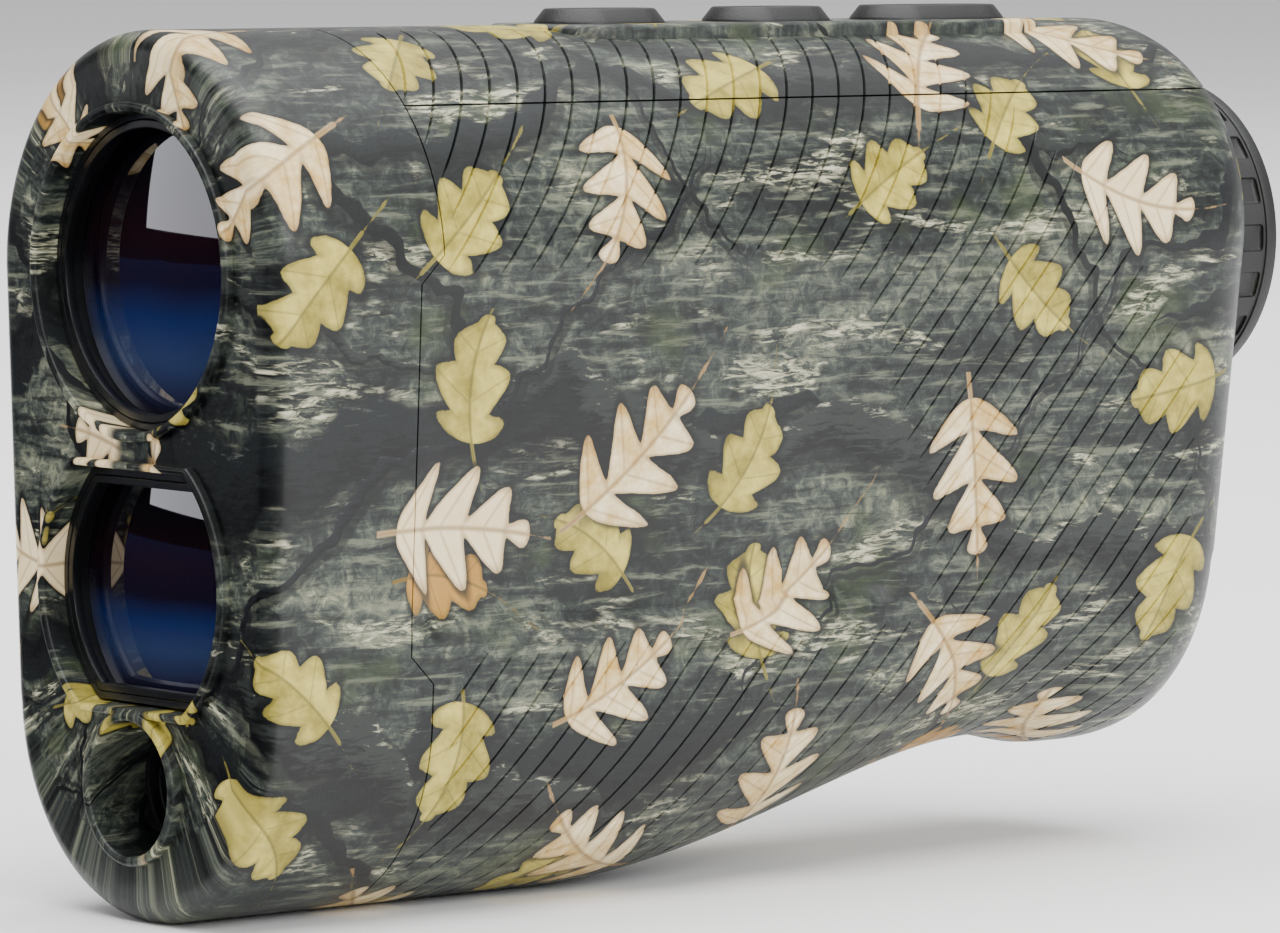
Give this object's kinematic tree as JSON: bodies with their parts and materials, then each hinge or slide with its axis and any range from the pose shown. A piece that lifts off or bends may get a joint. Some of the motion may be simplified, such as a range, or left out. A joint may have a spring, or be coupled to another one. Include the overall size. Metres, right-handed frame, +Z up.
{
  "type": "laser rangefinder",
  "caption": "Handheld laser rangefinder with stacked front lenses, top buttons, a focusing eyepiece and a ribbed camouflage housing",
  "frame": {"origin": "centre of the whole object's bounding box", "axes": "+Z is up, towards the buttons; -Y is where the front lenses look; +Y is the eyepiece end; +X is the object's left when held to the eye, the side without screws"},
  "size_m": [0.0388, 0.115, 0.0734],
  "materials": {
    "camo_shell": "satin, dipped with a woodland pattern",
    "front_glass": "coated",
    "emitter_glass": "coated",
    "eye_glass": "coated",
    "prism_glass": "polished",
    "black_plastic": "fine matt",
    "black_rubber": "matt",
    "gilt_metal": "gold plated",
    "circuit_board": "green resist on glass-fibre board",
    "chip_resin": "moulded",
    "cast_alloy": "die cast",
    "steel": "plain",
    "display_glass": "liquid crystal panel",
    "cell_sleeve": "shrink sleeve"
  },
  "bodies": {
    "housing": {"front_cover": "camo_shell", "side_shell_right": "camo_shell", "side_shell_left": "camo_shell", "top_cover": "camo_shell", "objective_barrel": "black_plastic", "objective_retainer": "black_plastic", "objective_lens": "front_glass", "objective_seal": "black_rubber", "receiver_barrel": "black_plastic", "receiver_retainer": "black_plastic", "receiver_lens": "front_glass", "emitter_barrel": "black_plastic", "emitter_lens": "emitter_glass", "laser_diode": "gilt_metal", "laser_board": "circuit_board", "photodiode": "gilt_metal", "receiver_board": "circuit_board", "receiver_shroud": "black_plastic", "front_bulkhead": "cast_alloy", "rear_bulkhead": "cast_alloy", "chassis": "cast_alloy", "chassis_screws": "steel", "shell_screws": "steel", "prism_block": "prism_glass", "roof_prism": "prism_glass", "prism_bracket": "black_plastic", "display_panel": "display_glass", "display_frame": "black_plastic", "eyepiece_tube": "black_plastic", "field_lens": "eye_glass", "focus_circlip": "steel", "button_board": "circuit_board", "dome_switches": "steel", "main_board": "circuit_board", "board_chips": "chip_resin", "battery_cell": "cell_sleeve", "battery_cradle": "black_plastic", "battery_contacts": "gilt_metal", "charging_port": "steel", "port_door_pin": "steel", "lanyard_bar": "steel"},
    "front_button_body": {"front_button": "black_rubber"},
    "middle_button_body": {"middle_button": "black_rubber"},
    "rear_button_body": {"rear_button": "black_rubber"},
    "focus_body": {"focus_ring": "black_plastic", "eyecup": "black_rubber"},
    "eye_cell_body": {"eye_lens": "eye_glass", "eye_lens_retainer": "black_plastic"},
    "port_door_body": {"port_door": "black_rubber"}
  },
  "joints": [
    {"name": "front_button_press", "type": "slide", "parent": "housing", "child": "front_button_body", "axis": [0, 0, -1], "range_m": [0, 0.0006], "stiffness_N_per_m": 1500, "springref_m": -0.0002},
    {"name": "middle_button_press", "type": "slide", "parent": "housing", "child": "middle_button_body", "axis": [0, 0, -1], "range_m": [0, 0.0006], "stiffness_N_per_m": 1500, "springref_m": -0.0002},
    {"name": "rear_button_press", "type": "slide", "parent": "housing", "child": "rear_button_body", "axis": [0, 0, -1], "range_m": [0, 0.0006], "stiffness_N_per_m": 1500, "springref_m": -0.0002},
    {"name": "focus_turn", "type": "hinge", "parent": "housing", "child": "focus_body", "pos_m": [0, 0.05155, 0.01605], "axis": [0, 1, 0], "range_deg": [-75, 75]},
    {"name": "eye_cell_slide", "type": "slide", "parent": "housing", "child": "eye_cell_body", "axis": [0, 1, 0], "range_m": [-0.0006, 0.0006]},
    {"name": "port_door_hinge", "type": "hinge", "parent": "housing", "child": "port_door_body", "pos_m": [0, 0.04877, -0.01935], "axis": [-1, 0, 0], "range_deg": [0, 90]}
  ],
  "couplings": [
    {"joint": "eye_cell_slide", "follows": "focus_turn", "m_per_rad": 0.0004}
  ]
}
